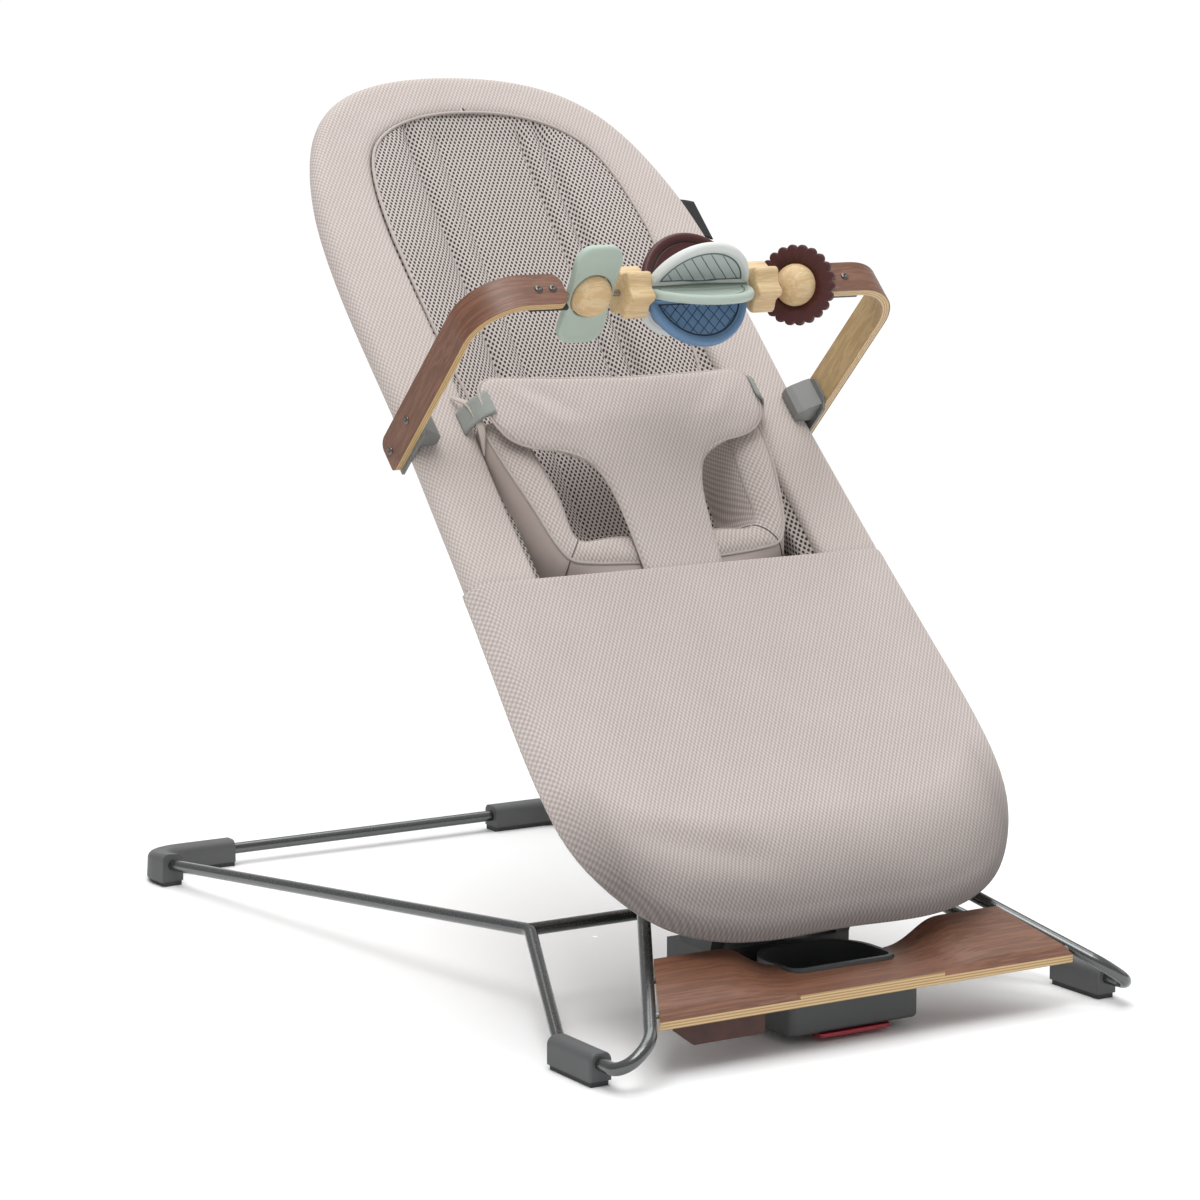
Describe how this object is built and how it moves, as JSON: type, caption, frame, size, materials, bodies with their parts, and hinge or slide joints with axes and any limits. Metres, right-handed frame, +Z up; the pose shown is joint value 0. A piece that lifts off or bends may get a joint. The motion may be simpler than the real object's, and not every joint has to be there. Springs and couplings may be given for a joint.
{
  "type": "baby bouncer seat",
  "caption": "Reclining fabric baby seat on a springy bent-wire base with a curved plywood foot board, and a lift-off bentwood bar carrying turning wooden toys.",
  "frame": {"origin": "on the floor, at the middle of the footprint", "axes": "+Z up, +Y from the foot end to the head end, X across the seat"},
  "size_m": [0.4606, 0.7931, 0.6766],
  "materials": {
    "gunmetal": "glossy dark coat",
    "foot_grey": "matte",
    "sole_grey": "matte",
    "board_wood": "walnut veneer over pale ply, satin",
    "steel": "brushed",
    "housing_grey": "fine grain, matte",
    "hub_grey": "fine grain, matte",
    "red": "satin",
    "leather": "smooth, stitched",
    "cover_cloth": "fine twill",
    "panel_cloth": "smooth stretch knit",
    "mesh_cloth": "spacer mesh",
    "insert_cloth": "padded jersey",
    "harness_cloth": "padded twill",
    "webbing": "woven strap",
    "loop_cloth": "folded tape",
    "label_cloth": "woven label",
    "clip_grey": "fine grain, satin",
    "arm_wood": "walnut outside, pale ply inside",
    "dark_steel": "dark satin",
    "rod_steel": "polished",
    "ball_wood": "satin",
    "bead_wood": "satin",
    "sage": "moulded, softly recessed lobes",
    "white": "moulded, engraved diagonal lines",
    "burgundy": "moulded, one engraved arc",
    "plum": "moulded",
    "pale": "moulded",
    "blue": "moulded, engraved crossed lines"
  },
  "bodies": {
    "base": {"rear_tube": "gunmetal", "side_tube_left": "gunmetal", "side_tube_right": "gunmetal", "crossbar": "gunmetal", "front_foot_left": "foot_grey", "front_foot_right": "foot_grey", "front_sole_left": "sole_grey", "front_sole_right": "sole_grey", "rear_foot_left": "foot_grey", "rear_foot_right": "foot_grey", "rear_sole_left": "sole_grey", "rear_sole_right": "sole_grey", "foot_board": "board_wood", "board_pins": "steel", "housing_lower": "housing_grey", "housing_upper": "housing_grey", "hub_bracket_left": "hub_grey", "hub_bracket_right": "hub_grey", "hub_axle": "steel", "leather_tag": "leather"},
    "rocker": {"rocker_block": "hub_grey"},
    "seat": {"seat_bracket": "hub_grey", "bracket_saddles": "hub_grey", "seat_cross_tube": "steel", "hoop_upper": "steel", "hoop_lower": "steel", "cover_upper": "cover_cloth", "leg_panel": "panel_cloth", "back_pad": "mesh_cloth", "gusset_left": "mesh_cloth", "gusset_right": "mesh_cloth", "insert_cushion": "insert_cloth", "harness_panel": "harness_cloth", "tab_left": "webbing", "tab_right": "webbing", "loop_left": "loop_cloth", "loop_right": "loop_cloth", "side_label": "label_cloth"},
    "toy_bar": {"clip_left": "clip_grey", "clip_right": "clip_grey", "arm_left": "arm_wood", "arm_right": "arm_wood", "arm_screws": "dark_steel", "end_plate_left": "dark_steel", "end_plate_right": "dark_steel", "toy_rod": "rod_steel", "fixed_ball": "ball_wood"},
    "bow": {"bow_plate": "sage", "bow_ball": "ball_wood"},
    "bead_left_toy": {"bead_left": "bead_wood"},
    "petal_ball": {"petal_hub": "bead_wood", "petal_white": "white", "petal_burgundy": "burgundy", "petal_plum": "plum", "petal_pale": "pale", "petal_blue": "blue", "petal_sage": "sage"},
    "bead_right_toy": {"bead_right": "bead_wood"},
    "flower": {"flower_ring": "burgundy"},
    "release": {"red_release": "red"}
  },
  "joints": [
    {"name": "seat_bounce", "type": "hinge", "parent": "base", "child": "rocker", "pos_m": [0, -0.2234, 0.098], "axis": [1, 0, 0], "range_deg": [-3, 3], "stiffness_Nm_per_rad": 300, "springref_deg": 1.3},
    {"name": "seat_recline", "type": "hinge", "parent": "rocker", "child": "seat", "pos_m": [0, -0.2234, 0.098], "axis": [1, 0, 0], "range_deg": [-45, 0]},
    {"name": "toy_bar_lift", "type": "slide", "parent": "seat", "child": "toy_bar", "axis": [0, -0.7121, 0.702], "range_m": [0, 0.06]},
    {"name": "bow_spin", "type": "hinge", "parent": "toy_bar", "child": "bow", "pos_m": [0, -0.13555, 0.52066], "axis": [1, 0, 0], "continuous": true},
    {"name": "bead_left_spin", "type": "hinge", "parent": "toy_bar", "child": "bead_left_toy", "pos_m": [0, -0.13555, 0.52066], "axis": [1, 0, 0], "continuous": true},
    {"name": "petal_spin", "type": "hinge", "parent": "toy_bar", "child": "petal_ball", "pos_m": [0, -0.13555, 0.52066], "axis": [1, 0, 0], "continuous": true},
    {"name": "bead_right_spin", "type": "hinge", "parent": "toy_bar", "child": "bead_right_toy", "pos_m": [0, -0.13555, 0.52066], "axis": [1, 0, 0], "continuous": true},
    {"name": "flower_spin", "type": "hinge", "parent": "toy_bar", "child": "flower", "pos_m": [0.0955, -0.13555, 0.52066], "axis": [-0.7943, -0.5985, 0.1045], "continuous": true},
    {"name": "red_release_pull", "type": "slide", "parent": "base", "child": "release", "axis": [0, -1, 0], "range_m": [0, 0.005], "stiffness_N_per_m": 400, "springref_m": -0.004}
  ]
}
